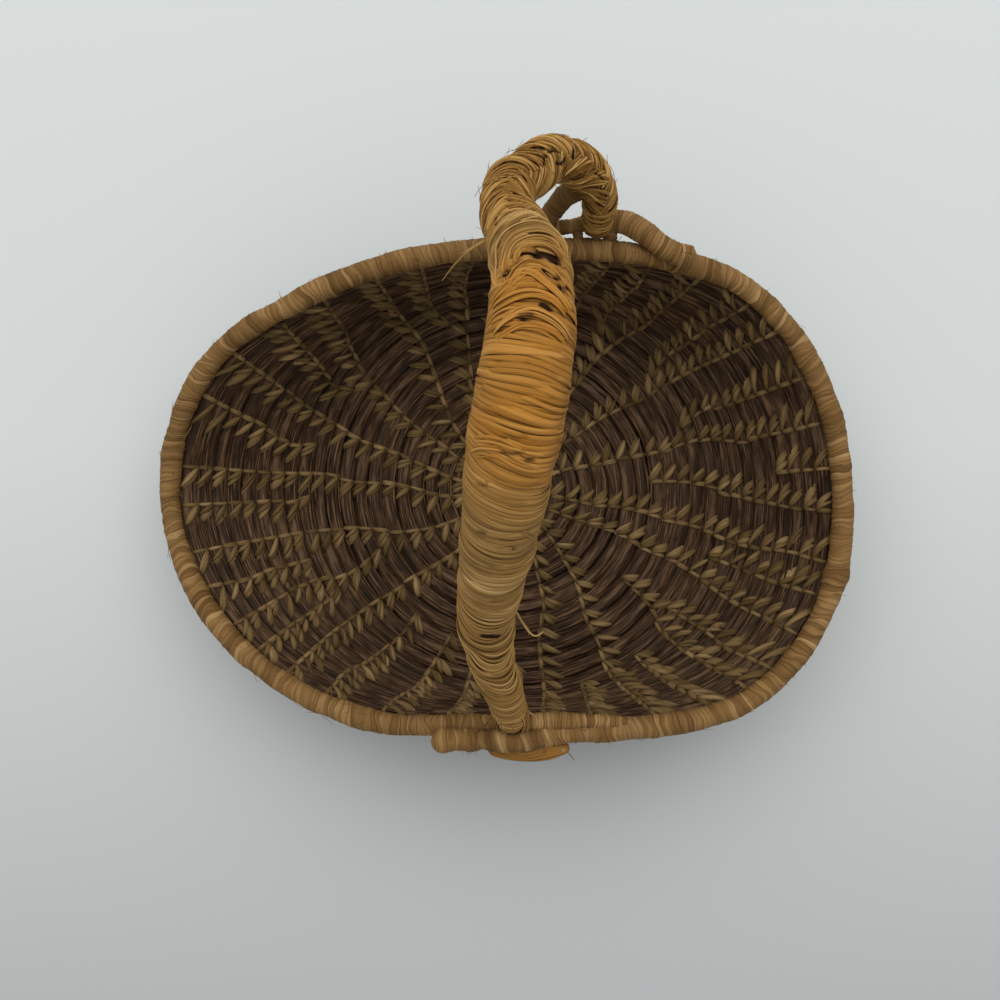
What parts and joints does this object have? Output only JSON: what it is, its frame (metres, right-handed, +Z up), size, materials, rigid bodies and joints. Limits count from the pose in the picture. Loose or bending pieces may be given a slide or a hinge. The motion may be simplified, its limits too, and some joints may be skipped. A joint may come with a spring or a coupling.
{
  "type": "coiled pine needle basket",
  "caption": "Oval coiled basket of pine needle bundles with a raffia-wrapped rim and a wrapped arch handle that is sewn to the front and back of the rim.",
  "frame": {"origin": "middle of the flat underside, at the knot where the coil starts", "axes": "+Z up, +X along the long way of the oval rim, +Y towards the back foot of the handle"},
  "size_m": [0.2601, 0.208, 0.1666],
  "materials": {
    "pine_needle": "matt bundles of dried long pine needles",
    "raffia_rim": "matt raffia, wound close",
    "raffia_handle": "satin raffia, wound close"
  },
  "bodies": {
    "root": {"centre_knot": "raffia_rim", "floor_coil": "pine_needle", "side_coil": "pine_needle", "rim_core": "pine_needle", "rim_wrap": "raffia_rim", "rim_end_knot": "raffia_rim", "front_lug": "raffia_rim", "handle_core": "pine_needle", "front_leg_wrap": "raffia_handle", "grip_wrap": "raffia_handle", "hook_wrap": "raffia_handle", "back_arch": "raffia_rim", "back_strut": "raffia_rim", "back_tie_left": "raffia_rim", "back_tie_right": "raffia_rim", "arch_binding": "raffia_rim"}
  },
  "joints": []
}
